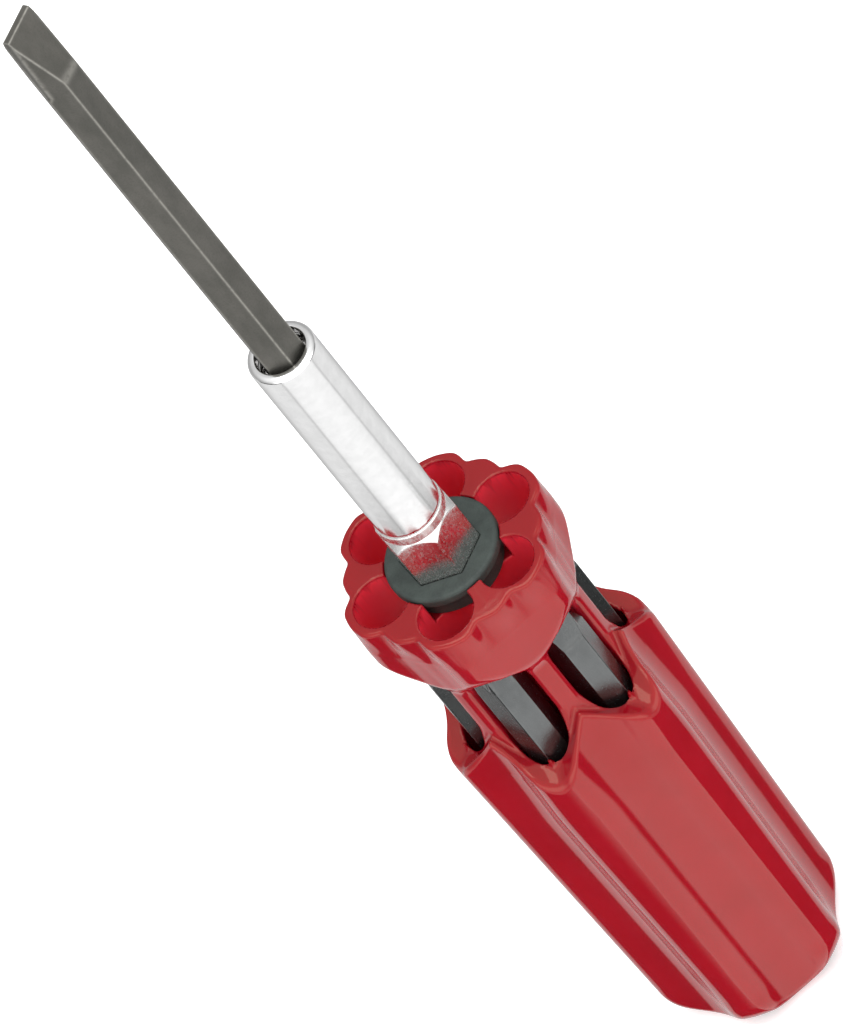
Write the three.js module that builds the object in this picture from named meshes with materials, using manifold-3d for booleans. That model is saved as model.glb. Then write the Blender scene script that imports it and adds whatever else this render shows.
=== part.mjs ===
// Multi-bit screwdriver: a six-lobed handle with a revolver of stored bits round
// a hex shank, and one bit in the holder at the front. Millimetres, +Z from butt to tip.
import * as THREE from 'three';
import { mergeVertices } from 'three/addons/utils/BufferGeometryUtils.js';
import Module from 'manifold-3d';

const wasm = await Module();
wasm.setup();

// ---------------------------------------------------------------- dimensions
const H = 115.5;               // butt to the front face of the collar
const BIT_AF = 6.35;           // 1/4 in hex drive
const BIT_LENGTH = 98;
const TIP_Z = H + 135;         // tip of the bit in the holder
const STORED_Z = 8.5;          // foot of a stored bit above the butt
const BORE_R = 4.2;            // bit bore inside the grip, and its circle
const BORE_PITCH_R = 10.75;
const CHANNEL_R = 4.45;        // wider bore through the windows and the collar
const CHANNEL_PITCH_R = 11.46;
const PUSH_HOLE_R = 2.7;       // hole in the butt for pushing a stored bit out
const PUSH_PITCH_R = 10.9;
const LOBE_R_REAR = 16.4;      // grip radius over the lobes at the butt
const LOBE_R_FRONT = 18.46;    // and at the shoulder
const LOBE_TAPER = 0.0268;
const FLUTE_DEPTH = 2.8;       // flutes between the bores
const FLUTE_R = 9.8;
const NECK_FLAT_R = 13.4;      // outer faces of the ribs
const DOME_R = 8;              // rounding of the butt
const SHANK_AF = 11.11;        // 7/16 in hex bar
const SHANK_FOOT_Z = H - 52;
const HEX_TOP_Z = H + 9.9;
const STEP_Z = H + 11.7;       // foot of the sleeve
const MOUTH_Z = H + 53.5;      // mouth of the holder
const SLEEVE_R = 5.32;
const SPIGOT_R = 4.55;
const MOUTH_HOLE_R = 3.95;
const GROMMET_R = 9.05;
const GROMMET_HUB_R = 8.2;
const RECESS_R = 9.2;          // recess of the grommet in the collar
const RECESS_DEPTH = 4.8;

// ------------------------------------------------------------------- helpers
const rad = THREE.MathUtils.degToRad;
const lerp = THREE.MathUtils.lerp;

// A table of [angle, value] pairs read with straight lines between them.
function table(pairs, a) {
  for (let i = 1; i < pairs.length; i++) {
    if (a <= pairs[i][0]) {
      const [a0, v0] = pairs[i - 1], [a1, v1] = pairs[i];
      return lerp(v0, v1, (a - a0) / (a1 - a0));
    }
  }
  return pairs[pairs.length - 1][1];
}

// A closed geometry as a solid, with doubled corners merged and flat triangles dropped.
function solid(geometry) {
  let g = geometry.clone();
  g.deleteAttribute('normal');
  g.deleteAttribute('uv');
  g = mergeVertices(g, 1e-4);
  const p = g.attributes.position.array;
  const idx = g.index.array;
  const tri = [];
  let volume = 0;
  for (let i = 0; i < idx.length; i += 3) {
    const [a, b, c] = [idx[i], idx[i + 1], idx[i + 2]];
    if (a === b || b === c || a === c) continue;
    tri.push(a, b, c);
    volume += p[3 * a] * (p[3 * b + 1] * p[3 * c + 2] - p[3 * b + 2] * p[3 * c + 1])
      - p[3 * a + 1] * (p[3 * b] * p[3 * c + 2] - p[3 * b + 2] * p[3 * c])
      + p[3 * a + 2] * (p[3 * b] * p[3 * c + 1] - p[3 * b + 1] * p[3 * c]);
  }
  if (volume < 0) {
    for (let i = 0; i < tri.length; i += 3) [tri[i + 1], tri[i + 2]] = [tri[i + 2], tri[i + 1]];
  }
  return new wasm.Manifold(new wasm.Mesh({
    numProp: 3, vertProperties: new Float32Array(p), triVerts: new Uint32Array(tri),
  }));
}

function geometryOf(manifold) {
  const m = manifold.getMesh();
  const g = new THREE.BufferGeometry();
  g.setAttribute('position', new THREE.BufferAttribute(new Float32Array(m.vertProperties), 3));
  g.setIndex(new THREE.BufferAttribute(new Uint32Array(m.triVerts), 1));
  g.computeVertexNormals();
  return g;
}

// A turned piece about Z from [radius, z] points; the first corner lies at angle start.
function turned(points, segments, start = 0) {
  const g = new THREE.LatheGeometry(points.map(([r, z]) => new THREE.Vector2(r, z)), segments);
  g.rotateX(Math.PI / 2);
  g.rotateZ(Math.PI / 2 + start);
  return g;
}

// A prism along Z on a polygon of [x, y] points.
function prism(points, z0, z1) {
  const shape = new THREE.Shape(points.map(([x, y]) => new THREE.Vector2(x, y)));
  const g = new THREE.ExtrudeGeometry(shape, { depth: z1 - z0, bevelEnabled: false });
  g.translate(0, 0, z0);
  return g;
}

function ngon(n, r, start = 0, cx = 0, cy = 0) {
  return Array.from({ length: n }, (_, i) => {
    const a = start + 2 * Math.PI * i / n;
    return [cx + r * Math.cos(a), cy + r * Math.sin(a)];
  });
}

// A hexagon with flats facing +X and every 60 degrees from it.
const hexagon = (af) => ngon(6, af / Math.sqrt(3), rad(30));

// --------------------------------------------------------------- handle body
// Angles across the handle are taken from the middle of a flute, 0, to the middle of
// a lobe, 30. Stored bits, windows and lobes lie at 0, 60, 120 ... degrees in plan,
// and the flutes and the ribs of the neck between them.
const clamp = THREE.MathUtils.clamp, smooth = THREE.MathUtils.smoothstep;
const lobeRadius = (z) => Math.min(LOBE_R_FRONT, LOBE_R_REAR + LOBE_TAPER * z);

function gripSection(u, z) {
  let r = lobeRadius(z);
  const c = r - FLUTE_DEPTH - 0.75 * smooth(z, H - 52, H - 31) + FLUTE_R;
  const s = c * Math.sin(rad(u));
  if (s < FLUTE_R) r = Math.min(r, c * Math.cos(rad(u)) - Math.sqrt(FLUTE_R ** 2 - s * s));
  if (z < DOME_R) r = Math.min(r, lobeRadius(DOME_R) - DOME_R + Math.sqrt(DOME_R ** 2 - (DOME_R - z) ** 2));
  return r;
}
const neckSection = (u) => NECK_FLAT_R / Math.cos(rad(u));

const COLLAR_FRONT = [[0, 15.8], [6, 15.65], [12, 15.3], [15, 15.75], [18, 16.5], [22, 16.95], [30, 17.2]];
const COLLAR_MID = [[0, 15.2], [10, 15.3], [16, 15.75], [20, 16.35], [25, 17.05], [30, 17.4]];
const COLLAR_LOW = [[0, 14.35], [10, 14.65], [16, 15.15], [20, 15.7], [25, 16.65], [30, 17.25]];
const collarLowZ = (u) => H - 10.3 - (17.25 - table(COLLAR_LOW, u)) * 2.05;

// Each row of the skin gives [radius, z] for an angle from the middle of a flute.
const rows = [];
for (const a of [90, 74, 58, 42, 26, 10]) {
  const z = DOME_R * (1 - Math.sin(rad(a)));
  rows.push((u) => [gripSection(u, z), z]);
}
for (const z of [DOME_R + 1.5, 40]) rows.push((u) => [gripSection(u, z), z]);
// The shoulder: pointed over each flute, lowest at each lobe, where the windows end.
const edge = (u) => H - 30.3 - 0.32 * Math.min(u, 28);
const lift = (u) => 0.5 * Math.min(1, Math.max(0, (u - 10) / 18) ** 2);
rows.push((u) => [gripSection(u, edge(u) - 4), edge(u) - 4]);
rows.push((u) => [gripSection(u, edge(u) - 0.9), edge(u) - 0.9]);
rows.push((u) => [gripSection(u, edge(u) - 0.3) - 0.25, edge(u) - 0.25]);
rows.push((u) => {
  const r = gripSection(u, edge(u)) - 0.9;
  return [r, edge(u) + lift(u) * 0.7];
});
rows.push((u) => {
  const r = neckSection(u);
  return [r, edge(u) + lift(u) * (gripSection(u, edge(u)) - r)];
});
rows.push((u) => [neckSection(u), H - 24]);
rows.push((u) => [neckSection(u), H - 17.2]);
rows.push((u) => [table(COLLAR_LOW, u), collarLowZ(u)]);
rows.push((u) => [table(COLLAR_MID, u), H - 6.5]);
rows.push((u) => [table(COLLAR_FRONT, u), H - 0.9]);
rows.push((u) => [table(COLLAR_FRONT, u) - 0.2, H - 0.25]);
rows.push((u) => [table(COLLAR_FRONT, u) - 0.75, H]);

const TURN = 120;
const skinProfile = [[0, 0], ...rows.map((row) => row(0)), [0, H]];
const skin = turned(skinProfile, TURN);
{
  const p = skin.attributes.position;
  const n = skinProfile.length;
  for (let i = 0; i < p.count; i++) {
    const row = i % n;
    if (row === 0 || row === n - 1) continue;
    const step = Math.floor(i / n) % TURN;
    const angle = 360 * step / TURN;
    const fromLobe = Math.abs(((angle + 30) % 60) - 30);
    const [r, z] = rows[row - 1](30 - fromLobe);
    p.setXYZ(i, r * Math.cos(rad(angle)), r * Math.sin(rad(angle)), z);
  }
}
let handle = solid(skin);
for (let k = 0; k < 6; k++) {
  const a = rad(60 * k);
  const holes = [
    [PUSH_PITCH_R, [[0, -1], [PUSH_HOLE_R, -1], [PUSH_HOLE_R, STORED_Z + 1], [0, STORED_Z + 1]]],
    [BORE_PITCH_R, [[0, STORED_Z - 0.05], [BORE_R, STORED_Z - 0.05], [BORE_R, H - 33], [0, H - 33]]],
    [CHANNEL_PITCH_R, [[0, H - 35], [CHANNEL_R, H - 35], [CHANNEL_R, H - 0.25], [CHANNEL_R + 0.35, H + 0.1], [0, H + 0.1]]],
  ];
  for (const [pitch, outline] of holes) {
    const hole = turned(outline, 32);
    hole.rotateZ(a);
    hole.translate(pitch * Math.cos(a), pitch * Math.sin(a), 0);
    handle = handle.subtract(solid(hole));
  }
}
handle = handle.subtract(solid(prism(hexagon(SHANK_AF + 0.1), SHANK_FOOT_Z - 0.3, H + 1)));
handle = handle.subtract(solid(turned([[0, H - RECESS_DEPTH], [RECESS_R, H - RECESS_DEPTH], [RECESS_R, H + 1], [0, H + 1]], 48)));

// ------------------------------------------------------- shank, sleeve, holder
const bitFoot = TIP_Z - BIT_LENGTH;
const MAGNET_T = 4;
const ringTop = MOUTH_Z - 1.5;

// Hex bar with its top edge turned to a cone, and a round spigot for the sleeve.
const turnedBar = turned([[0, SHANK_FOOT_Z], [5.7, SHANK_FOOT_Z], [6.6, SHANK_FOOT_Z + 0.9], [6.6, HEX_TOP_Z - 1.5],
  [5.5, HEX_TOP_Z], [5.5, STEP_Z - 0.05], [SPIGOT_R, STEP_Z - 0.05], [SPIGOT_R, ringTop - 1.2], [0, ringTop - 1.2]], 48);
let shank = solid(turnedBar).intersect(
  solid(prism(hexagon(SHANK_AF), SHANK_FOOT_Z - 1, HEX_TOP_Z)).add(
    solid(turned([[0, HEX_TOP_Z - 1], [5.5, HEX_TOP_Z - 1], [5.5, MOUTH_Z], [0, MOUTH_Z]], 48))));
shank = shank.subtract(solid(prism(hexagon(BIT_AF + 0.12), bitFoot - 0.1, MOUTH_Z + 1)));
shank = shank.subtract(solid(prism(ngon(24, 3.1), bitFoot - 0.2 - MAGNET_T - 0.1, bitFoot)));

const sleeve = turned([[SPIGOT_R + 0.05, STEP_Z], [SLEEVE_R - 0.12, STEP_Z], [SLEEVE_R, STEP_Z + 0.15], [SLEEVE_R, MOUTH_Z - 0.9],
  [SLEEVE_R - 0.27, MOUTH_Z - 0.25], [SLEEVE_R - 0.75, MOUTH_Z], [MOUTH_HOLE_R + 0.25, MOUTH_Z], [MOUTH_HOLE_R, MOUTH_Z - 0.3],
  [MOUTH_HOLE_R, ringTop + 0.1], [SPIGOT_R + 0.05, ringTop + 0.1], [SPIGOT_R + 0.05, STEP_Z]], 48);

const magnet = turned([[0, bitFoot - 0.2 - MAGNET_T], [2.7, bitFoot - 0.2 - MAGNET_T], [3.0, bitFoot + 0.1 - MAGNET_T],
  [3.0, bitFoot - 0.35], [2.85, bitFoot - 0.2], [0, bitFoot - 0.2]], 24);

// Split ring: an arc strip with a gap.
const ringShape = new THREE.Shape();
ringShape.absarc(0, 0, SPIGOT_R - 0.05, rad(18), rad(342), false);
ringShape.absarc(0, 0, 3.74, rad(342), rad(18), true);
ringShape.closePath();
const springRing = new THREE.ExtrudeGeometry(ringShape, { depth: 0.9, bevelEnabled: false, curveSegments: 30 });
springRing.translate(0, 0, ringTop - 1.05);

// Rubber bush: a hub in the recess and a lip with a bevelled rim, on a hex hole.
const grommet = solid(turned([[0, H - RECESS_DEPTH + 0.3], [GROMMET_HUB_R - 0.4, H - RECESS_DEPTH + 0.3],
  [GROMMET_HUB_R, H - RECESS_DEPTH + 0.7], [GROMMET_HUB_R, H - 1.7], [GROMMET_R, H - 1.4], [GROMMET_R, H - 0.35],
  [GROMMET_R - 0.3, H + 0.15], [GROMMET_R - 0.9, H + 0.4], [0, H + 0.4]], 48))
  .subtract(solid(prism(hexagon(SHANK_AF + 0.2), H - RECESS_DEPTH, H + 1)));

// --------------------------------------------------------------------- bits
// Every bit is made standing on its foot, tip up, with hex flats facing +X.
const tipZ = BIT_LENGTH;
const hexBar = () => solid(prism(hexagon(BIT_AF), 0, tipZ)).intersect(
  solid(turned([[0, 0], [3.15, 0], [3.7, 0.55], [3.7, tipZ], [0, tipZ]], 24)));

// Flat blade: two ground faces taper the hex down; turn is the direction of the ground faces.
function slottedBit(width, thick, ground, shoulderLength, turn) {
  const half = BIT_AF / 2 + 0.02;
  const zs = tipZ - ground;
  const cut = new THREE.Shape([
    [-half, -1], [half, -1], [half, zs], [thick / 2, tipZ + 0.001], [-thick / 2, tipZ + 0.001], [-half, zs],
  ].map(([x, y]) => new THREE.Vector2(x, y)));
  const slab = new THREE.ExtrudeGeometry(cut, { depth: 12, bevelEnabled: false });
  slab.translate(0, 0, -6);
  slab.rotateX(Math.PI / 2);
  slab.rotateZ(turn);
  let bit = hexBar().intersect(solid(slab));
  if (width < 7) {
    const w = width / 2, zw = tipZ - shoulderLength;
    const side = new THREE.Shape([[-4.5, -1], [4.5, -1], [4.5, zw], [w + 0.15, zw + 3], [w, tipZ + 0.5], [-w, tipZ + 0.5], [-w - 0.15, zw + 3], [-4.5, zw]]
      .map(([x, y]) => new THREE.Vector2(x, y)));
    const sides = new THREE.ExtrudeGeometry(side, { depth: 12, bevelEnabled: false });
    sides.translate(0, 0, -6);
    sides.rotateX(Math.PI / 2);
    sides.rotateZ(turn + Math.PI / 2);
    bit = bit.intersect(solid(sides));
  }
  return bit;
}

// Cross point: a turned neck and point, with four wedge grooves between the wings that run out on the neck.
function phillipsBit(neckR, pointR, neckLength, grooveLength) {
  const zn = tipZ - neckLength;
  const point = (neckR - pointR) / Math.tan(rad(28));
  let bit = hexBar().intersect(solid(turned([[0, -1], [4.2, -1], [4.2, zn - 2.4], [neckR, zn], [neckR, tipZ - point],
    [pointR, tipZ - 0.25], [pointR - 0.25, tipZ], [0, tipZ]], 24)));
  const outer = neckR - 0.15, tilt = Math.atan((outer - 0.55 * pointR) / grooveLength);
  for (let k = 0; k < 4; k++) {
    const w = 4, open = w * Math.tan(rad(42));
    const groove = prism([[0, 0], [w, -open], [w, open]], -3, 16);
    groove.rotateY(-tilt);
    groove.translate(outer, 0, tipZ - grooveLength);
    groove.rotateZ(rad(45 + 90 * k));
    bit = bit.subtract(solid(groove));
  }
  return bit;
}

// Square point: a four-sided taper on a turned shoulder.
function squareBit(across, neckLength) {
  const zn = tipZ - neckLength;
  const turnedEnd = solid(turned([[0, -1], [4.2, -1], [4.2, zn - 2.6], [across * 0.74, zn], [across * 0.72, tipZ - 0.4], [across * 0.5, tipZ], [0, tipZ]], 24));
  const s = across / 2;
  const four = new THREE.CylinderGeometry(s * Math.SQRT2, (s + 0.14) * Math.SQRT2, neckLength - 1, 4);
  four.rotateX(Math.PI / 2);
  four.rotateZ(Math.PI / 4);
  four.translate(0, 0, tipZ - (neckLength - 1) / 2);
  const keep = solid(four).add(solid(prism(ngon(24, 5), -1, zn + 1.02)));
  return hexBar().intersect(turnedEnd).intersect(keep);
}

// ------------------------------------------------------------------ assembly
const red = new THREE.MeshStandardMaterial({ color: 0xa81826, roughness: 0.28, metalness: 0 });
const rubber = new THREE.MeshStandardMaterial({ color: 0x3a403d, roughness: 0.8, metalness: 0 });
const chrome = new THREE.MeshStandardMaterial({ color: 0xe4e4e6, roughness: 0.14, metalness: 1 });
const plated = new THREE.MeshStandardMaterial({ color: 0xc9c7c4, roughness: 0.25, metalness: 1 });
const magnetMetal = new THREE.MeshStandardMaterial({ color: 0x9a9a98, roughness: 0.4, metalness: 1 });
const springSteel = new THREE.MeshStandardMaterial({ color: 0xb8b8b6, roughness: 0.3, metalness: 1 });
const darkSteel = new THREE.MeshStandardMaterial({ color: 0x66665f, roughness: 0.5, metalness: 0.85 });

const tool = new THREE.Group();
function piece(name, shape, material, parent = tool) {
  const geometry = shape instanceof THREE.BufferGeometry ? geometryOf(solid(shape)) : geometryOf(shape);
  const mesh = new THREE.Mesh(geometry, material);
  mesh.name = name;
  parent.add(mesh);
  return mesh;
}

piece('handle_body', handle, red);
piece('bit_grip_grommet', grommet, rubber);
piece('hex_shank', shank, plated);
piece('bit_holder_sleeve', sleeve, chrome);
piece('holder_magnet', magnet, magnetMetal);
piece('bit_spring_ring', springRing, springSteel);

// The bit in the holder: its ground faces look along -60 and 120 degrees.
piece('bit_slotted_6mm', slottedBit(6.45, 1.05, 10.9, 16, rad(-60)), darkSteel).position.set(0, 0, bitFoot);

// Stored bits, one in each bore. They lie as they fall: each entry gives its distance from
// the axis, its angle off the middle of the bore, and its turn about itself.
const stored = [
  ['bit_phillips_1', phillipsBit(2.45, 0.75, 9, 7.5), 10.9, 0, 0],
  ['bit_square_1', squareBit(2.3, 9), 10.8, 0, 0],
  ['bit_square_2', squareBit(2.85, 9), 10.8, 0, 0],
  ['bit_phillips_2', phillipsBit(2.95, 1.0, 9, 7.5), 10.64, 0, 0],
  ['bit_phillips_3', phillipsBit(3.6, 1.35, 9, 9), 10.88, -2.1, 30],
  ['bit_slotted_4mm', slottedBit(4.6, 0.8, 11.5, 13, 0), 10.88, 2.1, -30],
];
stored.forEach(([name, shape, pitch, off, turn], k) => {
  const spot = new THREE.Group();
  spot.rotation.z = rad(60 * k + off);
  tool.add(spot);
  const bit = piece(name, shape, darkSteel, spot);
  bit.position.set(pitch, 0, STORED_Z);
  bit.rotation.z = rad(turn - off);
});

export default tool;
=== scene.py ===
"""Multi-bit screwdriver: moulded handle, rubber bush, plated shank and dark steel bits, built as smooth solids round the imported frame."""
import math

import bpy
import numpy as np
from mathutils import Matrix, Vector


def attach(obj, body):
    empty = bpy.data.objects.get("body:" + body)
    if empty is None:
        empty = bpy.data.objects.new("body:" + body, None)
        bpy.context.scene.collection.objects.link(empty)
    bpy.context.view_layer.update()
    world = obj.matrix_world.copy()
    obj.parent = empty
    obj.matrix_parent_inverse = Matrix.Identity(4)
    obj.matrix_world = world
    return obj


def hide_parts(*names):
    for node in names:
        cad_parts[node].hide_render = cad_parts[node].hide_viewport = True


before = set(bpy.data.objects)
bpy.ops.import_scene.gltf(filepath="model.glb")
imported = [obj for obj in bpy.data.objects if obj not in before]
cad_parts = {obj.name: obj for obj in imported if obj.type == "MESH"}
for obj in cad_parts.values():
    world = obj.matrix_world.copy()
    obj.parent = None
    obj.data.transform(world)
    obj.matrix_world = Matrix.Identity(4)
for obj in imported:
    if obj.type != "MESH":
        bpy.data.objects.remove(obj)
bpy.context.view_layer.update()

# ------------------------------------------------------------------ dimensions, mm
H = 115.5            # butt to the front face of the collar
BIT_AF = 6.35
BIT_LENGTH = 98.0
TIP_Z = H + 135.0
STORED_Z = 8.5
BORE_R, BORE_PITCH_R = 4.18, 10.75
CHANNEL_R, CHANNEL_PITCH_R = 4.43, 11.46
PUSH_HOLE_R, PUSH_PITCH_R = 2.7, 10.9
LOBE_R_REAR, LOBE_R_FRONT, LOBE_TAPER = 16.4, 18.46, 0.0268
FLUTE_DEPTH, FLUTE_R = 2.8, 9.6
DOME_R = 8.0
NECK_FLAT_R = 13.4
SHANK_AF = 11.11
SHANK_FOOT_Z = H - 52
HEX_TOP_Z, STEP_Z, MOUTH_Z = H + 9.9, H + 11.7, H + 53.5
SLEEVE_R, SPIGOT_R, MOUTH_HOLE_R = 5.32, 4.55, 3.95
GROMMET_R, GROMMET_HUB_R, RECESS_R, RECESS_DEPTH = 9.05, 8.2, 9.2, 4.8
BIT_FOOT = TIP_Z - BIT_LENGTH


# ------------------------------------------------------------- solids as distances
def fillet(a, b, r):
    """The union of two solids with a hollow fillet of radius r where they meet."""
    return np.maximum(r, np.minimum(a, b)) - np.hypot(np.maximum(r - a, 0), np.maximum(r - b, 0))


def rounded(a, b, r):
    """What two solids share, with the edge between them rounded to radius r."""
    return np.minimum(-r, np.maximum(a, b)) + np.hypot(np.maximum(r + a, 0), np.maximum(r + b, 0))


def cut(a, b, r):
    """Solid a less solid b, with the new edge rounded to radius r."""
    return rounded(a, -b, r)


def softmax(parts, k):
    """The largest of the parts, with edges eased over about k."""
    top = np.maximum.reduce(parts)
    return top + k * np.log(sum(np.exp((p - top) / k) for p in parts))


def ramp(x, a, b):
    t = np.clip((x - a) / (b - a), 0, 1)
    return t * t * (3 - 2 * t)


def smooth_curve(points, sigma):
    """An even curve with a period of 60 degrees through [angle, value] points, 0 to 30, smoothed over sigma degrees."""
    a = np.linspace(-90, 90, 1801)
    folded = np.abs((a + 30) % 60 - 30)
    v = np.interp(folded, [p[0] for p in points], [p[1] for p in points])
    k = np.exp(-0.5 * (np.linspace(-5, 5, 101) * 1.0 / sigma) ** 2)
    v = np.convolve(v, k / k.sum(), "same")
    keep = (a >= 0) & (a <= 30)
    return a[keep], v[keep]


# angle from a stored bit's direction, 0, to the middle of a rib, 30
COLLAR_FRONT = smooth_curve([(0, 17.3), (9, 17.1), (12, 16.7), (18, 15.1), (24, 15.6), (30, 15.95)], 1.5)
COLLAR_MID = smooth_curve([(0, 17.5), (5, 17.2), (10, 16.4), (14, 15.8), (20, 15.3), (30, 15.15)], 1.5)
COLLAR_LOW = smooth_curve([(0, 17.35), (5, 16.8), (10, 15.8), (14, 15.2), (20, 14.65), (30, 14.3)], 1.5)


def handle_solid(x, y, z):
    r = np.hypot(x, y)
    ang = np.degrees(np.arctan2(y, x))
    af = np.abs((ang + 30) % 60 - 30)          # from the nearest stored bit, where a lobe lies
    u = 30 - af                                 # from the nearest flute and rib
    dep = H - z
    ca, sa = np.cos(np.radians(af)), np.sin(np.radians(af))
    cu, su = np.cos(np.radians(u)), np.sin(np.radians(u))

    # grip: a tapered bar with a domed butt, and six shallow round flutes
    lobe_r = np.minimum(LOBE_R_FRONT, LOBE_R_REAR + LOBE_TAPER * z)
    disc = LOBE_R_REAR + LOBE_TAPER * DOME_R - DOME_R
    side = np.where(z < DOME_R, np.hypot(np.maximum(r - disc, 0), DOME_R - z) - DOME_R, r - lobe_r)
    c = lobe_r - FLUTE_DEPTH - 0.75 * ramp(z, H - 52, H - 31) + FLUTE_R
    grip = cut(side, np.hypot(r * cu - c, r * su) - FLUTE_R, 0.9 + 0.8 * ramp(z, 3, 11))

    # its front end: a pointed shoulder at each flute, sloping to a valley at each lobe
    ue = 32 - np.sqrt(af ** 2 + 16)
    w = np.sqrt(np.maximum(ue, 0) ** 2 + 1.5)
    lift = 0.5 * np.clip((ue - 10) / 18, 0, 1.2) ** 2
    slope = 0.32 * 57.3 * (np.maximum(ue, 0) / w) / np.maximum(r, 8)
    front = (29.9 + 0.32 * w - lift * (18.46 - r) - dep) / np.sqrt(1 + slope ** 2 + lift ** 2)
    grip = rounded(grip, front, 0.7 + 0.4 * ramp(u, 12, 26))

    # core: six flat ribs between the windows
    core = np.maximum(np.maximum(r * cu - NECK_FLAT_R, 12 - z), 1.2 - dep)
    body = fillet(grip, core, 0.6)

    # collar
    front_r = np.interp(af, *COLLAR_FRONT)
    mid_r = np.interp(af, *COLLAR_MID)
    low_r = np.interp(af, *COLLAR_LOW)
    t = ramp(dep, 0.0, 7.5)
    s = np.clip((dep - 6.5) / 10, 0, 1.2)
    collar = (r - (front_r + (mid_r - front_r) * t + (low_r - mid_r) * s)) * 0.95
    collar = rounded(collar, -dep, 0.6)
    collar = rounded(collar, (dep - (10.5 + (17.35 - r) * 1.84)) * 0.4775, 0.45)
    body = fillet(body, collar, 0.6)

    # bores, with their push-out holes at the butt, and eased rims
    ease = 0.22 + 0.2 * ramp(dep, 1, 6) + 1.4 * ramp(dep, 13, 18) * ramp(dep, 34, 28)
    for a_c, a_s in ((ca, sa), (np.cos(np.radians(60 - af)), np.sin(np.radians(60 - af)))):
        t = ramp(dep, 31, 37)
        shaft = np.hypot(r * a_c - CHANNEL_PITCH_R + (CHANNEL_PITCH_R - BORE_PITCH_R) * t, r * a_s) - CHANNEL_R + (CHANNEL_R - BORE_R) * t
        shaft = np.maximum(shaft, STORED_Z - 0.05 - z)
        push = np.maximum(np.hypot(r * a_c - PUSH_PITCH_R, r * a_s) - PUSH_HOLE_R, z - STORED_Z - 1)
        body = cut(body, np.minimum(shaft, push), ease)
    # recess of the bush, and the hex bore of the shank
    body = cut(body, np.maximum(r - RECESS_R, dep - RECESS_DEPTH), 0.3)
    body = cut(body, np.maximum(r * ca - SHANK_AF / 2 - 0.05, SHANK_FOOT_Z - 0.3 - z), 0.15)
    return body


def hexagon(x, y, af):
    """The three pairs of faces of a hex bar with flats facing +X and every 60 degrees."""
    q = math.sqrt(3) / 2
    return [np.abs(x) - af / 2, np.abs(0.5 * x + q * y) - af / 2, np.abs(0.5 * x - q * y) - af / 2]


def profile(r, z, points):
    """Turned solid under straight lines through (z, radius) points, as a distance across them."""
    zs, rs = zip(*points)
    out = r - np.interp(z, zs, rs)
    steep = np.interp(z, [0.5 * (a + b) for a, b in zip(zs, zs[1:])],
                      [1 / math.hypot(1, (rb - ra) / max(zb - za, 1e-6)) for za, zb, ra, rb in zip(zs, zs[1:], rs, rs[1:])])
    return out * steep


def shank_solid(x, y, z):
    r = np.hypot(x, y)
    bar = softmax(hexagon(x, y, SHANK_AF) + [SHANK_FOOT_Z - z, z - HEX_TOP_Z - 0.2,
                  (r - 5.52) * 0.81 + (z - HEX_TOP_Z) * 0.59, (r - 5.7) * 0.7 + (SHANK_FOOT_Z - z) * 0.7], 0.05)
    neck = rounded(r - 5.5, z - STEP_Z + 0.05, 0.12)
    neck = np.maximum(neck, HEX_TOP_Z - 3 - z)
    spigot = np.maximum(np.maximum(r - SPIGOT_R, z - (MOUTH_Z - 2.7)), HEX_TOP_Z - 3 - z)
    out = np.minimum(np.minimum(bar, neck), spigot)
    out = np.maximum(out, -np.maximum(np.maximum.reduce(hexagon(x, y, BIT_AF + 0.12)), BIT_FOOT - 0.1 - z))
    return np.maximum(out, -np.maximum(r - 3.1, BIT_FOOT - 4.3 - z))


def grommet_solid(x, y, z):
    r = np.hypot(x, y)
    lip = rounded(r - GROMMET_R, z - (H + 0.4), 0.7)
    lip = rounded(lip, H - 1.4 - z, 0.3)
    hub = np.maximum(rounded(r - GROMMET_HUB_R, H - RECESS_DEPTH + 0.3 - z, 0.4), z - H)
    return cut(fillet(lip, hub, 0.3), np.maximum.reduce(hexagon(x, y, SHANK_AF + 0.1)), 0.12)


def bit_planes(x, y, z):
    r = np.hypot(x, y)
    return hexagon(x, y, BIT_AF) + [-z, (r - 3.15) * 0.7071 - z * 0.7071]


def slotted_planes(x, y, z, width, thick, ground, shoulder, turn):
    c, s = math.cos(turn), math.sin(turn)
    q, m = np.abs(x * c + y * s), np.abs(-x * s + y * c)
    slope = (BIT_AF / 2 + 0.02 - thick / 2) / ground
    planes = [(q - thick / 2 - (BIT_LENGTH - z) * slope) / math.hypot(1, slope), z - BIT_LENGTH]
    zw = BIT_LENGTH - shoulder
    side = width / 2 + 0.15 * np.clip((BIT_LENGTH - z) / (shoulder - 3), 0, 1) + np.maximum(zw + 3 - z, 0) * (4.5 - width / 2) / 3
    planes.append((m - side) * np.where(z < zw + 3, 0.85, 1.0))
    return planes


def phillips_parts(x, y, z, neck, point, length, groove):
    r = np.hypot(x, y)
    zn = BIT_LENGTH - length
    cone = (neck - point) / math.tan(math.radians(28))
    turned = profile(r, z, [(-5, 4.2), (zn - 2.4, 4.2), (zn, neck), (BIT_LENGTH - cone, neck), (BIT_LENGTH - 0.25, point), (BIT_LENGTH, point - 0.25), (BIT_LENGTH + 3, point - 0.4)])
    parts = [turned, z - BIT_LENGTH]
    outer = neck - 0.15
    tilt = math.atan((outer - 0.55 * point) / groove)
    for k in range(4):
        a = math.radians(45 + 90 * k)
        p, q = x * math.cos(a) + y * math.sin(a), -x * math.sin(a) + y * math.cos(a)
        p, zz = p - outer, z - (BIT_LENGTH - groove)
        pr = p * math.cos(tilt) + zz * math.sin(tilt)
        wedge = (np.abs(q) - pr * math.tan(math.radians(42))) * math.cos(math.radians(42))
        parts.append(np.where(zz > -3, -wedge, -9.0))
    return parts


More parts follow.
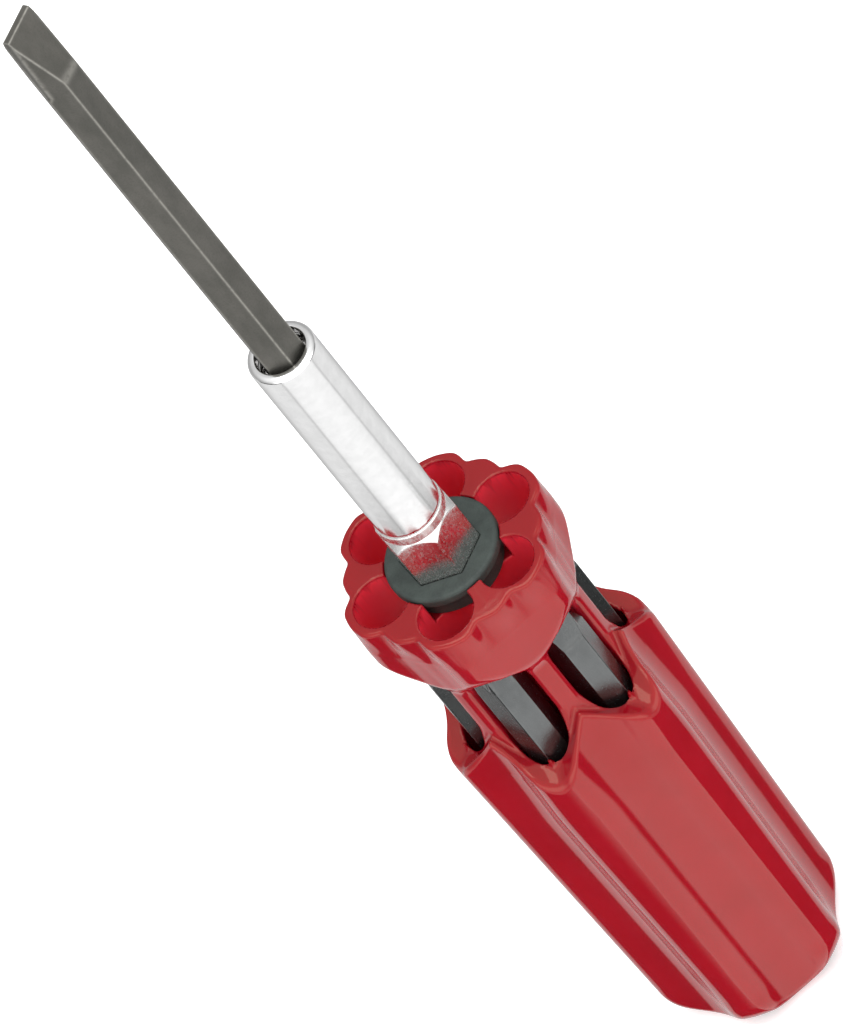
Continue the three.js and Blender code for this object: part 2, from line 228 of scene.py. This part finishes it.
def square_parts(x, y, z, across, length):
    r = np.hypot(x, y)
    zn = BIT_LENGTH - length
    turned = profile(r, z, [(-5, 4.2), (zn - 2.6, 4.2), (zn, across * 0.74), (BIT_LENGTH - 0.4, across * 0.72), (BIT_LENGTH, across * 0.5), (BIT_LENGTH + 3, across * 0.4)])
    grow = 0.14 * np.clip((BIT_LENGTH - z) / (length - 1), 0, 1)
    four = np.maximum(np.abs(x), np.abs(y)) - across / 2 - grow
    return [turned, z - BIT_LENGTH, np.where(z > zn + 1, four, -9.0)]


# ----------------------------------------------------------------- solids to meshes
def steps(*spans):
    """Grid lines along an axis: (start, stop, step) spans put end to end."""
    out = []
    for a, b, h in spans:
        out.append(np.linspace(a, b, max(2, int(round((b - a) / h)) + 1)))
    return np.unique(np.round(np.concatenate(out), 5))


def nets(f, xs, ys, zs):
    """Closed quad mesh round f < 0 on a grid of lines."""
    X, Y, Z = np.meshgrid(xs, ys, zs, indexing="ij")
    F = f(X, Y, Z)
    S = F < 0
    shape = tuple(n - 1 for n in F.shape)
    acc, cnt = np.zeros(shape + (3,)), np.zeros(shape)
    grid = (X, Y, Z)
    edges = []
    for ax in range(3):
        lo, hi = [slice(None)] * 3, [slice(None)] * 3
        lo[ax], hi[ax] = slice(None, -1), slice(1, None)
        lo, hi = tuple(lo), tuple(hi)
        cross = S[lo] != S[hi]
        t = np.where(cross, F[lo] / np.where(cross, F[lo] - F[hi], 1), 0)
        p = np.stack([g[lo] + t * (g[hi] - g[lo]) for g in grid], -1) * cross[..., None]
        others = [a for a in range(3) if a != ax]
        for da in (0, 1):
            for db in (0, 1):
                s = [slice(None)] * 3
                s[others[0]] = slice(da, da - 1 or None)
                s[others[1]] = slice(db, db - 1 or None)
                acc += p[tuple(s)]
                cnt += cross[tuple(s)]
        edges.append((ax, cross, S[lo]))
    live = cnt > 0
    index = np.full(shape, -1)
    index[live] = np.arange(live.sum())
    points = acc[live] / cnt[live][:, None]
    faces = []
    for ax, cross, inside in edges:
        b, c = (ax + 1) % 3, (ax + 2) % 3
        at = np.argwhere(cross)
        at = at[(at[:, b] > 0) & (at[:, c] > 0) & (at[:, b] < shape[b]) & (at[:, c] < shape[c])]
        ring = []
        for db, dc in ((-1, -1), (0, -1), (0, 0), (-1, 0)):
            cell = at.copy()
            cell[:, b] += db
            cell[:, c] += dc
            ring.append(index[cell[:, 0], cell[:, 1], cell[:, 2]])
        quad = np.stack(ring, 1)
        flip = ~inside[at[:, 0], at[:, 1], at[:, 2]]
        quad[flip] = quad[flip][:, ::-1]
        faces.append(quad)
    return points, np.concatenate(faces)


def gradient(f, P, e=0.02):
    g = np.empty_like(P)
    for k in range(3):
        d = np.zeros(3)
        d[k] = e
        g[:, k] = (f(*(P + d).T) - f(*(P - d).T)) / (2 * e)
    return g


def pulled(f, P, most=0.3, times=3):
    """Points moved on to the surface of f."""
    for _ in range(times):
        g = gradient(f, P)
        n2 = np.maximum((g * g).sum(1), 0.05)
        d = np.clip(f(*P.T) / n2, -most, most)
        P = P - d[:, None] * g
    return P


def mesh_of(name, P, faces):
    me = bpy.data.meshes.new(name)
    me.vertices.add(len(P))
    me.vertices.foreach_set("co", (np.asarray(P) * 0.001).astype(np.float32).ravel())
    n = faces.shape[1]
    me.loops.add(faces.size)
    me.loops.foreach_set("vertex_index", faces.astype(np.int32).ravel())
    me.polygons.add(len(faces))
    me.polygons.foreach_set("loop_start", np.arange(0, faces.size, n, dtype=np.int32))
    me.update(calc_edges=True)
    me.validate()
    return me


def add(name, me):
    ob = bpy.data.objects.new(name, me)
    bpy.context.scene.collection.objects.link(ob)
    return ob


def coords(me):
    co = np.empty(len(me.vertices) * 3, np.float32)
    me.vertices.foreach_get("co", co)
    return co.reshape(-1, 3).astype(float) * 1000


def solid_piece(name, f, xs, ys, zs, keep=1.0, wear_and_bore_glow=None, place=None):
    """A smooth piece from a solid; keep is the share of faces left; wear gives a value at each point, kept as a point
    attribute of that name: how near the bits' worn edges are, and on the handle the mask of the bore walls where a
    brighter red is painted as glow; place moves it from its own frame.
    """
    P, faces = nets(f, xs, ys, zs)
    P = pulled(f, P)
    ob = add(name, mesh_of(name, P, faces))
    if keep < 1:
        mod = ob.modifiers.new("thin", "DECIMATE")
        mod.ratio = keep
        me = bpy.data.meshes.new_from_object(ob.evaluated_get(bpy.context.evaluated_depsgraph_get()))
        old = ob.data
        ob.modifiers.clear()
        ob.data = me
        bpy.data.meshes.remove(old)
        P = pulled(f, coords(me), most=0.15, times=2)
    me = ob.data
    me.name = name
    N = gradient(f, P, 0.01)
    N /= np.maximum(np.linalg.norm(N, axis=1), 1e-9)[:, None]
    if wear_and_bore_glow is not None:
        at = me.attributes.new("wear_and_bore_glow", "FLOAT", "POINT")
        at.data.foreach_set("value", wear_and_bore_glow(*P.T).astype(np.float32))
    at = me.attributes.new("own", "FLOAT_VECTOR", "POINT")
    at.data.foreach_set("vector", P.astype(np.float32).ravel())
    if place is not None:
        turn, shift = place
        c, s = math.cos(turn), math.sin(turn)
        R = np.array([[c, -s, 0], [s, c, 0], [0, 0, 1]])
        P, N = P @ R.T + np.array(shift), N @ R.T
    me.vertices.foreach_set("co", (P * 0.001).astype(np.float32).ravel())
    me.shade_smooth()
    me.update()
    me.normals_split_custom_set_from_vertices(N.tolist())
    return ob


def turned_piece(name, points, segments=96, start=0.0, stop=360.0):
    """A turned piece: a closed outline of (radius, z) points swept about Z, all round or over an arc with end caps."""
    pts = np.array(points, float)
    full = stop - start >= 359.9
    n, m = len(pts), segments if full else segments + 1
    ang = np.radians(np.linspace(start, stop, segments, endpoint=False) if full else np.linspace(start, stop, m))
    P = np.stack([np.outer(np.cos(ang), pts[:, 0]), np.outer(np.sin(ang), pts[:, 0]), np.tile(pts[:, 1], (m, 1))], -1).reshape(-1, 3)
    faces = []
    for i in range(segments):
        j = (i + 1) % m
        for k in range(n):
            l = (k + 1) % n
            faces.append((i * n + k, j * n + k, j * n + l, i * n + l))
    me = bpy.data.meshes.new(name)
    if not full:
        faces.append(tuple(range(n - 1, -1, -1)))
        faces.append(tuple((m - 1) * n + k for k in range(n)))
    me.from_pydata((P * 0.001).tolist(), [], faces)
    me.validate()
    me.shade_smooth()
    at = me.attributes.new("own", "FLOAT_VECTOR", "POINT")
    at.data.foreach_set("vector", P.astype(np.float32).ravel())
    return add(name, me)


def arc(cx, cz, r, a0, a1, n):
    return [(cx + r * math.cos(math.radians(a)), cz + r * math.sin(math.radians(a))) for a in np.linspace(a0, a1, n)]


# --------------------------------------------------------------------------- finishes
def material(name):
    m = bpy.data.materials.new(name)
    m.use_nodes = True
    nt = m.node_tree
    return m, nt, nt.nodes["Principled BSDF"]


def node(nt, kind, **values):
    n = nt.nodes.new(kind)
    for k, v in values.items():
        if k in n.inputs:
            n.inputs[k].default_value = v
        else:
            setattr(n, k, v)
    return n


def own(nt):
    return node(nt, "ShaderNodeAttribute", attribute_name="own").outputs["Vector"]


def noise(nt, vector, scale, detail=3.0, rough=0.5, stretch=None):
    if stretch is not None:
        mp = node(nt, "ShaderNodeMapping")
        mp.inputs["Scale"].default_value = stretch
        nt.links.new(vector, mp.inputs["Vector"])
        vector = mp.outputs["Vector"]
    n = node(nt, "ShaderNodeTexNoise", Scale=scale, Detail=detail, Roughness=rough)
    nt.links.new(vector, n.inputs["Vector"])
    return n.outputs["Fac"]


def span(nt, value, a, b, lo, hi, smooth=True):
    n = node(nt, "ShaderNodeMapRange", interpolation_type="SMOOTHSTEP" if smooth else "LINEAR")
    for k, v in (("From Min", a), ("From Max", b), ("To Min", lo), ("To Max", hi)):
        n.inputs[k].default_value = v
    nt.links.new(value, n.inputs["Value"])
    return n.outputs["Result"]


def sums(nt, op, a, b):
    n = node(nt, "ShaderNodeMath", operation=op)
    for k, v in enumerate((a, b)):
        if isinstance(v, (int, float)):
            n.inputs[k].default_value = v
        else:
            nt.links.new(v, n.inputs[k])
    return n.outputs["Value"]


def blend_colours(nt, fac, a, b):
    n = node(nt, "ShaderNodeMix", data_type="RGBA")
    for sock, v in ((n.inputs["Factor"], fac), (n.inputs["A"], a), (n.inputs["B"], b)):
        pass
    socks = [s for s in n.inputs if s.enabled]
    fac_in = [s for s in n.inputs if s.name == "Factor" and s.type == "VALUE"][0]
    a_in = [s for s in n.inputs if s.name == "A" and s.type == "RGBA"][0]
    b_in = [s for s in n.inputs if s.name == "B" and s.type == "RGBA"][0]
    for sock, v in ((fac_in, fac), (a_in, a), (b_in, b)):
        if isinstance(v, bpy.types.NodeSocket):
            nt.links.new(v, sock)
        else:
            sock.default_value = v
    return [s for s in n.outputs if s.type == "RGBA"][0]


def bump(nt, shader, height, strength, distance):
    b = node(nt, "ShaderNodeBump", Strength=strength, Distance=distance)
    nt.links.new(height, b.inputs["Height"])
    nt.links.new(b.outputs["Normal"], shader.inputs["Normal"])


def srgb(r, g, b):
    def lin(v):
        v /= 255
        return v / 12.92 if v <= 0.04045 else ((v + 0.055) / 1.055) ** 2.4
    return (lin(r), lin(g), lin(b), 1.0)


def red_plastic():
    m, nt, sh = material("red_plastic")
    p = own(nt)
    tone = noise(nt, p, 0.09, 2.0)
    fine = noise(nt, p, 1.3, 4.0)
    col = blend_colours(nt, span(nt, tone, 0.3, 0.7, 0.0, 1.0), (0.25, 0.0034, 0.0098, 1), (0.27, 0.0041, 0.0113, 1))
    # bore walls: a brighter red painted as glow, standing in for light bounced inside the holes, and more roughness
    bore = node(nt, "ShaderNodeAttribute", attribute_name="wear_and_bore_glow").outputs["Fac"]
    col = blend_colours(nt, bore, col, (0.78, 0.03, 0.06, 1))
    nt.links.new(col, sh.inputs["Base Color"])
    nt.links.new(sums(nt, "ADD", span(nt, fine, 0.35, 0.7, 0.07, 0.11), sums(nt, "MULTIPLY", bore, 0.45)), sh.inputs["Roughness"])
    sh.inputs["IOR"].default_value = 1.47
    sh.inputs["Specular Tint"].default_value = (1.0, 0.92, 0.7, 1)
    sh.inputs["Subsurface Weight"].default_value = 0.25
    sh.inputs["Subsurface Radius"].default_value = (1.0, 0.12, 0.1)
    sh.inputs["Subsurface Scale"].default_value = 0.0025
    hair = noise(nt, p, 2.2, 2.0, 0.5, (6.0, 6.0, 0.35))
    height = sums(nt, "ADD", sums(nt, "MULTIPLY", noise(nt, p, 0.3, 2.0), 0.6), sums(nt, "MULTIPLY", hair, 0.05))
    bump(nt, sh, height, 0.03, 0.0004)
    return m


def black_rubber():
    m, nt, sh = material("black_rubber")
    p = own(nt)
    tone = noise(nt, p, 0.5, 4.0)
    col = blend_colours(nt, span(nt, tone, 0.3, 0.7, 0.0, 1.0), srgb(42, 50, 47), srgb(53, 62, 58))
    nt.links.new(col, sh.inputs["Base Color"])
    nt.links.new(span(nt, noise(nt, p, 4.0, 3.0), 0.3, 0.7, 0.55, 0.75), sh.inputs["Roughness"])
    bump(nt, sh, noise(nt, p, 7.0, 3.0), 0.15, 0.0002)
    return m


def plated(name, colour, rough_lo, rough_hi, grain, depth=0.03):
    m, nt, sh = material(name)
    p = own(nt)
    tone = noise(nt, p, 0.6, 3.0)
    col = blend_colours(nt, span(nt, tone, 0.3, 0.7, 0.0, 1.0), colour, tuple(min(1.0, v * 1.06) for v in colour[:3]) + (1.0,))
    nt.links.new(col, sh.inputs["Base Color"])
    sh.inputs["Metallic"].default_value = 1.0
    lines = noise(nt, p, 1.2, 3.0, 0.6, grain)
    nt.links.new(span(nt, lines, 0.3, 0.7, rough_lo, rough_hi), sh.inputs["Roughness"])
    bump(nt, sh, lines, depth, 0.0002)
    return m


def dark_steel(name, low, high, fleck, worn, metal, rough, edge_amount):
    m, nt, sh = material(name)
    p = own(nt)
    wear_and_bore_glow = node(nt, "ShaderNodeAttribute", attribute_name="wear_and_bore_glow").outputs["Fac"]
    cloud = noise(nt, p, 0.22, 4.0, 0.6, (1.0, 1.0, 0.5))
    speck = noise(nt, p, 3.5, 5.0, 0.65)
    base = blend_colours(nt, span(nt, cloud, 0.3, 0.7, 0.0, 1.0), low, high)
    base = blend_colours(nt, span(nt, speck, 0.5, 0.75, 0.0, 0.35), base, fleck)
    edge = sums(nt, "MULTIPLY", wear_and_bore_glow, span(nt, noise(nt, p, 1.1, 3.0), 0.25, 0.55, 0.45 * edge_amount, edge_amount))
    col = blend_colours(nt, edge, base, worn)
    nt.links.new(col, sh.inputs["Base Color"])
    sh.inputs["Metallic"].default_value = metal
    nt.links.new(sums(nt, "SUBTRACT", span(nt, speck, 0.3, 0.7, rough - 0.06, rough + 0.08), sums(nt, "MULTIPLY", edge, 0.1)), sh.inputs["Roughness"])
    lines = noise(nt, p, 2.5, 3.0, 0.6, (4.0, 4.0, 0.25))
    bump(nt, sh, sums(nt, "ADD", sums(nt, "MULTIPLY", lines, 0.5), speck), 0.1, 0.00025)
    return m


RED, RUBBER = red_plastic(), black_rubber()
TUBE = plated("plated_tube", (0.84, 0.84, 0.84, 1), 0.1, 0.16, (1.0, 1.0, 9.0), 0.012)
HEXBAR = plated("plated_hex", (0.82, 0.8, 0.79, 1), 0.16, 0.3, (2.0, 2.0, 1.2), 0.035)
SPRING = plated("spring_steel", srgb(205, 205, 203), 0.22, 0.34, (1.0, 1.0, 6.0))
MAGNET = plated("magnet_metal", srgb(190, 190, 188), 0.3, 0.42, (4.0, 4.0, 4.0))
STEEL = dark_steel("dark_steel", srgb(84, 83, 78), srgb(98, 96, 91), srgb(70, 71, 67), srgb(150, 148, 141), 0.7, 0.42, 0.8)
BLACKED = dark_steel("blacked_steel", srgb(92, 94, 94), srgb(106, 108, 108), srgb(78, 80, 80), srgb(136, 138, 137), 0.95, 0.2, 0.3)


def settle(ob, mat, body, cad):
    ob.data.materials.clear()
    ob.data.materials.append(mat)
    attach(ob, body)
    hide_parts(cad)
    return ob


# ---------------------------------------------------------------------------- pieces
G = 18.9
def bore_glow_mask(x, y, z):
    """1 on the walls of the bores in the collar, 0 elsewhere: where the red plastic gets a painted glow, a brighter red
    standing in for light bounced inside the holes, and a rougher finish.
    """
    r = np.hypot(x, y)
    af = np.radians(np.abs((np.degrees(np.arctan2(y, x)) + 30) % 60 - 30))
    off = np.hypot(r * np.cos(af) - CHANNEL_PITCH_R, r * np.sin(af)) - CHANNEL_R
    return ramp(off, 0.3, 0.05) * ramp(H - z, 0.1, 0.7) * ramp(H - z, 24, 16)


# the mask passed here marks the bore walls, where the handle gets a painted glow of brighter red
handle = solid_piece("handle", handle_solid, steps((-G, G, 0.36)), steps((-G, G, 0.36)),
                     steps((-0.8, 11.0, 0.36), (11.0, H - 48, 1.8), (H - 48, H + 0.9, 0.36)), keep=0.5, wear_and_bore_glow=bore_glow_mask)
settle(handle, RED, "handle", "handle_body")

grommet = solid_piece("rubber_bush", grommet_solid, steps((-9.5, 9.5, 0.22)), steps((-9.5, 9.5, 0.22)),
                      steps((H - 5.0, H + 0.9, 0.16)), keep=0.5)
settle(grommet, RUBBER, "handle", "bit_grip_grommet")

shank = solid_piece("shank", shank_solid, steps((-6.8, 6.8, 0.17)), steps((-6.8, 6.8, 0.17)),
                    steps((SHANK_FOOT_Z - 0.6, SHANK_FOOT_Z + 2, 0.3), (SHANK_FOOT_Z + 2, H - 1, 4.0), (H - 1, H + 13, 0.17),
                          (H + 13, MOUTH_Z - 22, 4.0), (MOUTH_Z - 22, MOUTH_Z - 14, 0.4), (MOUTH_Z - 14, MOUTH_Z - 4, 2.0), (MOUTH_Z - 4, MOUTH_Z - 2, 0.25)))
settle(shank, HEXBAR, "handle", "hex_shank")

ring_top = MOUTH_Z - 1.5
sleeve_line = [(SPIGOT_R + 0.05, STEP_Z + 0.05)] + arc(SLEEVE_R - 0.16, STEP_Z + 0.16, 0.16, -90, 0, 5)
sleeve_line += [(SLEEVE_R, STEP_Z + 0.6)] + [(SLEEVE_R, z) for z in np.linspace(STEP_Z + 2, MOUTH_Z - 2.2, 8)]
sleeve_line += arc(SLEEVE_R - 0.85, MOUTH_Z - 0.85, 0.85, 0, 90, 10) + [(MOUTH_HOLE_R + 0.3, MOUTH_Z)]
sleeve_line += arc(MOUTH_HOLE_R + 0.25, MOUTH_Z - 0.25, 0.25, 90, 180, 5) + [(MOUTH_HOLE_R, ring_top + 0.3)]
sleeve_line += arc(MOUTH_HOLE_R + 0.1, ring_top + 0.2, 0.1, 180, 270, 4) + [(SPIGOT_R + 0.05, ring_top + 0.1)]
sleeve = turned_piece("sleeve", sleeve_line, 128)
settle(sleeve, TUBE, "handle", "bit_holder_sleeve")

ring = turned_piece("spring_ring", arc(4.12, ring_top - 0.6, 0.37, 0, 360, 13)[:-1], 72, 18, 342)
settle(ring, SPRING, "handle", "bit_spring_ring")

magnet = turned_piece("magnet", [(0.01, BIT_FOOT - 4.2)] + arc(2.75, BIT_FOOT - 3.95, 0.25, -90, 0, 5) + arc(2.75, BIT_FOOT - 0.45, 0.25, 0, 90, 5) + [(0.01, BIT_FOOT - 0.2)], 64)
settle(magnet, MAGNET, "handle", "holder_magnet")


def bit_piece(name, cad, body, tip, turn, shift, fine, finish):
    """A hex bit made in its own frame, foot at 0, then put in its place. tip gives the parts that shape its point."""
    def parts(x, y, z):
        return bit_planes(x, y, z) + tip(x, y, z)

    def f(x, y, z):
        return softmax(parts(x, y, z), 0.045)

    def wear_and_bore_glow(x, y, z):
        p = np.sort(np.stack(parts(x, y, z)), 0)
        return np.exp(-((p[-1] - p[-2]) / 0.16) ** 2)

    h = fine
    ob = solid_piece(name, f, steps((-4, 4, h)), steps((-4, 4, h)),
                     steps((-0.5, 1.2, 0.17), (1.2, BIT_LENGTH - 17, 2.0), (BIT_LENGTH - 17, BIT_LENGTH + 0.4, h)), wear_and_bore_glow=wear_and_bore_glow, place=(turn, shift))
    return settle(ob, finish, body, cad)


bit_piece("fitted_slotted_bit", "bit_slotted_6mm", "fitted_bit",
          lambda x, y, z: slotted_planes(x, y, z, 6.45, 1.05, 10.9, 16, math.radians(-60)), 0.0, (0, 0, BIT_FOOT), 0.13, STEEL)
STORED = [
    ("phillips_1", lambda x, y, z: phillips_parts(x, y, z, 2.45, 0.75, 9, 7.5), 10.9, 0, 0),
    ("square_1", lambda x, y, z: square_parts(x, y, z, 2.3, 9), 10.8, 0, 0),
    ("square_2", lambda x, y, z: square_parts(x, y, z, 2.85, 9), 10.8, 0, 0),
    ("phillips_2", lambda x, y, z: phillips_parts(x, y, z, 2.95, 1.0, 9, 7.5), 10.64, 0, 0),
    ("phillips_3", lambda x, y, z: phillips_parts(x, y, z, 3.6, 1.35, 9, 9), 10.88, -2.1, 30),
    ("slotted_4mm", lambda x, y, z: slotted_planes(x, y, z, 4.6, 0.8, 11.5, 13, 0.0), 10.88, 2.1, -30),
]
for k, (what, tip, pitch, off, turn) in enumerate(STORED):
    a = math.radians(60 * k + off)
    bit_piece("stored_" + what + "_bit", "bit_" + what, "stored_" + what, tip, math.radians(60 * k + turn),
              (pitch * math.cos(a), pitch * math.sin(a), STORED_Z), 0.2, BLACKED)

# ------------------------------------------------------------------------------ stage
floor_mat, nt, sh = material("pale_floor")
sh.inputs["Base Color"].default_value = (0.95, 0.95, 0.95, 1)
sh.inputs["Roughness"].default_value = 0.9
sh.inputs["Emission Color"].default_value = (1, 1, 1, 1)
sh.inputs["Emission Strength"].default_value = 0.4
bpy.ops.mesh.primitive_plane_add(size=6, location=(0, 0, 0))
floor = bpy.context.object
floor.name = "floor"
floor.data.materials.append(floor_mat)
floor.visible_glossy = False

# soft white light above; below, what glossy faces mirror: a card in front, grey sides and a card behind
VIEW = math.radians(-92.6)
world = bpy.data.worlds.new("studio")
bpy.context.scene.world = world
world.use_nodes = True
nt = world.node_tree
way = node(nt, "ShaderNodeSeparateXYZ")
nt.links.new(node(nt, "ShaderNodeTexCoord").outputs["Generated"], way.inputs[0])
wx, wy, wz = way.outputs
flat = sums(nt, "SQRT", sums(nt, "MAXIMUM", sums(nt, "SUBTRACT", 1.0, sums(nt, "MULTIPLY", wz, wz)), 0.0001), 0.0)
toward = sums(nt, "DIVIDE", sums(nt, "ADD", sums(nt, "MULTIPLY", wx, math.cos(VIEW)), sums(nt, "MULTIPLY", wy, math.sin(VIEW))), flat)
across = sums(nt, "DIVIDE", sums(nt, "SUBTRACT", sums(nt, "MULTIPLY", wy, math.cos(VIEW)), sums(nt, "MULTIPLY", wx, math.sin(VIEW))), flat)
turn = sums(nt, "ARCTAN2", across, toward)
card = sums(nt, "MULTIPLY", span(nt, turn, -1.0, -0.68, 0.0, 1.34), span(nt, turn, 0.72, 0.84, 1.0, 0.0))
behind = sums(nt, "ADD", span(nt, turn, 1.66, 1.74, 0.0, 0.7), span(nt, turn, -2.04, -1.94, 0.7, 0.0))
below = sums(nt, "ADD", sums(nt, "ADD", card, behind), 0.05)
above = span(nt, sums(nt, "ADD", sums(nt, "MULTIPLY", wz, 0.8), sums(nt, "MULTIPLY", toward, sums(nt, "MULTIPLY", flat, 0.6))), -0.2, 0.7, 0.45, 1.15)
upper = span(nt, wz, -0.3, -0.24, 0.0, 1.0)
strip = sums(nt, "MULTIPLY", sums(nt, "MULTIPLY", span(nt, wz, 0.15, 0.35, 1.3, 0.0), span(nt, toward, 0.2, 0.6, 0.0, 1.0)), 1.0)
above = sums(nt, "ADD", above, strip)
level = sums(nt, "ADD", sums(nt, "MULTIPLY", above, upper), sums(nt, "MULTIPLY", below, sums(nt, "SUBTRACT", 1.0, upper)))
nt.links.new(level, nt.nodes["Background"].inputs["Strength"])
nt.nodes["Background"].inputs["Color"].default_value = (1, 1, 1, 1)
world.cycles.sampling_method = "NONE"

# a card all round, lower down, for what stands higher: the bright tube and the bit
glow, nt, sh = material("low_card")
sh.inputs["Base Color"].default_value = (0, 0, 0, 1)
sh.inputs["Emission Color"].default_value = (1, 1, 1, 1)
nt.links.new(node(nt, "ShaderNodeAttribute", attribute_name="glow").outputs["Fac"], sh.inputs["Emission Strength"])
glow.cycles.emission_sampling = "NONE"
sweep = np.linspace(0, 360, 181)[:-1]
off_view = np.minimum(sweep, 360 - sweep)
shine = np.interp(off_view, [0, 48, 55, 57, 61, 64, 100, 125, 150, 180], [1.02, 0.98, 0.93, 0.6, 0.6, 0.83, 0.84, 0.76, 0.5, 0.45])
me = bpy.data.meshes.new("low_card")
me.from_pydata([(q * math.cos(VIEW + math.radians(a)), q * math.sin(VIEW + math.radians(a)), -0.05) for a in sweep for q in (0.165, 0.4)], [],
               [(2 * i, 2 * i + 1, (2 * i + 3) % 360, (2 * i + 2) % 360) for i in range(180)])
me.attributes.new("glow", "FLOAT", "POINT").data.foreach_set("value", np.repeat(shine, 2).astype(np.float32))
card = add("low_card", me)
me.materials.append(glow)
card.visible_camera = card.visible_diffuse = card.visible_shadow = card.visible_transmission = False


def softbox(name, place, aim, size, power):
    light = bpy.data.lights.new(name, "AREA")
    light.shape = "RECTANGLE"
    light.size, light.size_y = size
    light.energy = power
    ob = bpy.data.objects.new(name, light)
    bpy.context.scene.collection.objects.link(ob)
    ob.location = place
    ob.rotation_euler = (Vector(aim) - Vector(place)).to_track_quat("-Z", "Y").to_euler()
    return ob


softbox("overhead", (0.0, -0.2, 1.3), (0, 0, 0.1), (1.2, 1.2), 10)

# ----------------------------------------------------------------------------- camera
DISTANCE, SCALE = 1450.0, 6.94           # mm to the collar's face, pixels per mm there
THETA, AZIMUTH, ROLL = 42.4, -2.6, 38.96
el = math.radians(90 - THETA)
az = math.radians(AZIMUTH)
back = Vector((math.sin(az) * math.cos(el), -math.cos(az) * math.cos(el), math.sin(el)))
right = Vector((math.cos(az), math.sin(az), 0))
up = back.cross(right)
ro = math.radians(ROLL)
cam_right = right * math.cos(ro) - up * math.sin(ro)
cam_up = right * math.sin(ro) + up * math.cos(ro)
place = Vector((0, 0, H)) + back * DISTANCE - cam_right * ((440.6 - 421.5) / SCALE) + cam_up * ((549.3 - 512) / SCALE)
data = bpy.data.cameras.new("camera")
data.sensor_width = 36
data.lens = SCALE * DISTANCE * 36 / 1024
data.clip_start, data.clip_end = 0.05, 20
cam = bpy.data.objects.new("camera", data)
bpy.context.scene.collection.objects.link(cam)
cam.matrix_world = Matrix.Translation(place * 0.001) @ Matrix((cam_right, cam_up, back)).transposed().to_4x4()
bpy.context.scene.camera = cam

bpy.context.scene.view_settings.view_transform = "Standard"
bpy.context.view_layer.update()
